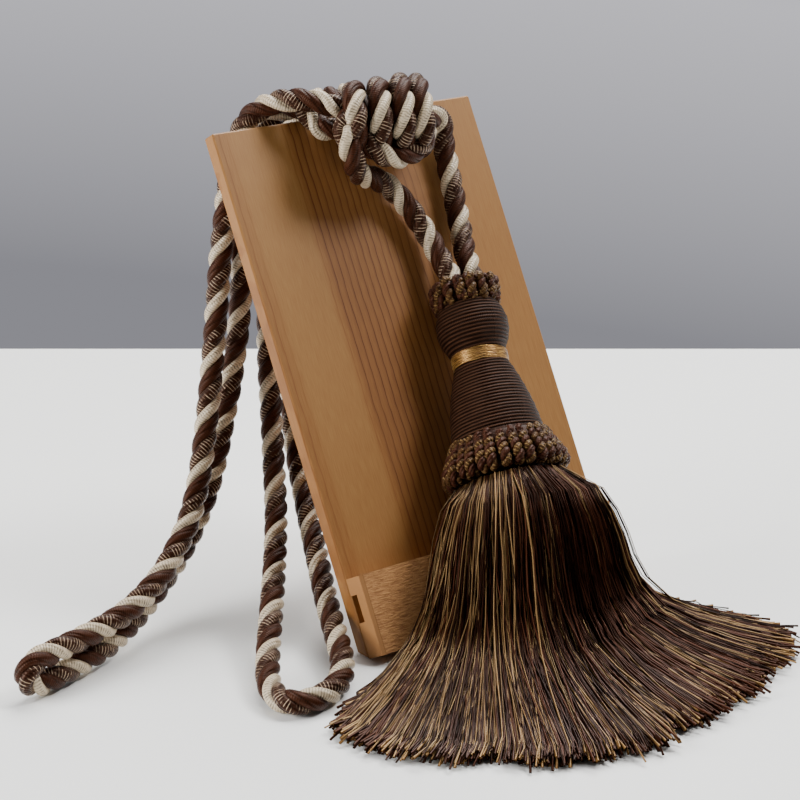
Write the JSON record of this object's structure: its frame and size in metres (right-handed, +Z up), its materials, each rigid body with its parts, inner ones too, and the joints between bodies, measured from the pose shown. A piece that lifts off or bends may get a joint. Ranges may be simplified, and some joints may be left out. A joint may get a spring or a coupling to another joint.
{
  "type": "curtain tieback tassel draped over a leaning wooden board",
  "caption": "Long-skirted curtain tieback tassel with a wound head, hung from a knotted twisted rope over the top of a leaning wooden board.",
  "frame": {"origin": "middle of the footprint of all but the rope, on the floor", "axes": "+Z up; -Y towards the viewer of the tassel; +X towards the viewer's right; the board is turned 38 degrees about +Z and leans back 28 degrees"},
  "size_m": [0.3498, 0.3029, 0.2456],
  "materials": {
    "pine": "satin clear-finished pine",
    "pine_end_grain": "sawn pine with a rough front",
    "rope_yarn": "three-strand rope of satin yarn, cream, plain brown and flecked brown",
    "winding_yarn": "fine dark brown cord laid in close turns",
    "ruff_cord": "looped two-colour twisted cord",
    "metal_thread": "gold-coloured metallic thread",
    "fringe_yarn": "loose satin threads, tan, brown and dark brown"
  },
  "bodies": {
    "root": {"board_panel": "pine", "board_ledge": "pine_end_grain", "board_prop": "pine", "head": "winding_yarn", "thread_band": "metal_thread", "top_ruff": "ruff_cord", "lower_ruff": "ruff_cord", "skirt": "fringe_yarn", "knot": "rope_yarn", "leg_left": "rope_yarn", "leg_right": "rope_yarn", "arm_left": "rope_yarn", "arm_middle": "rope_yarn"}
  },
  "joints": []
}
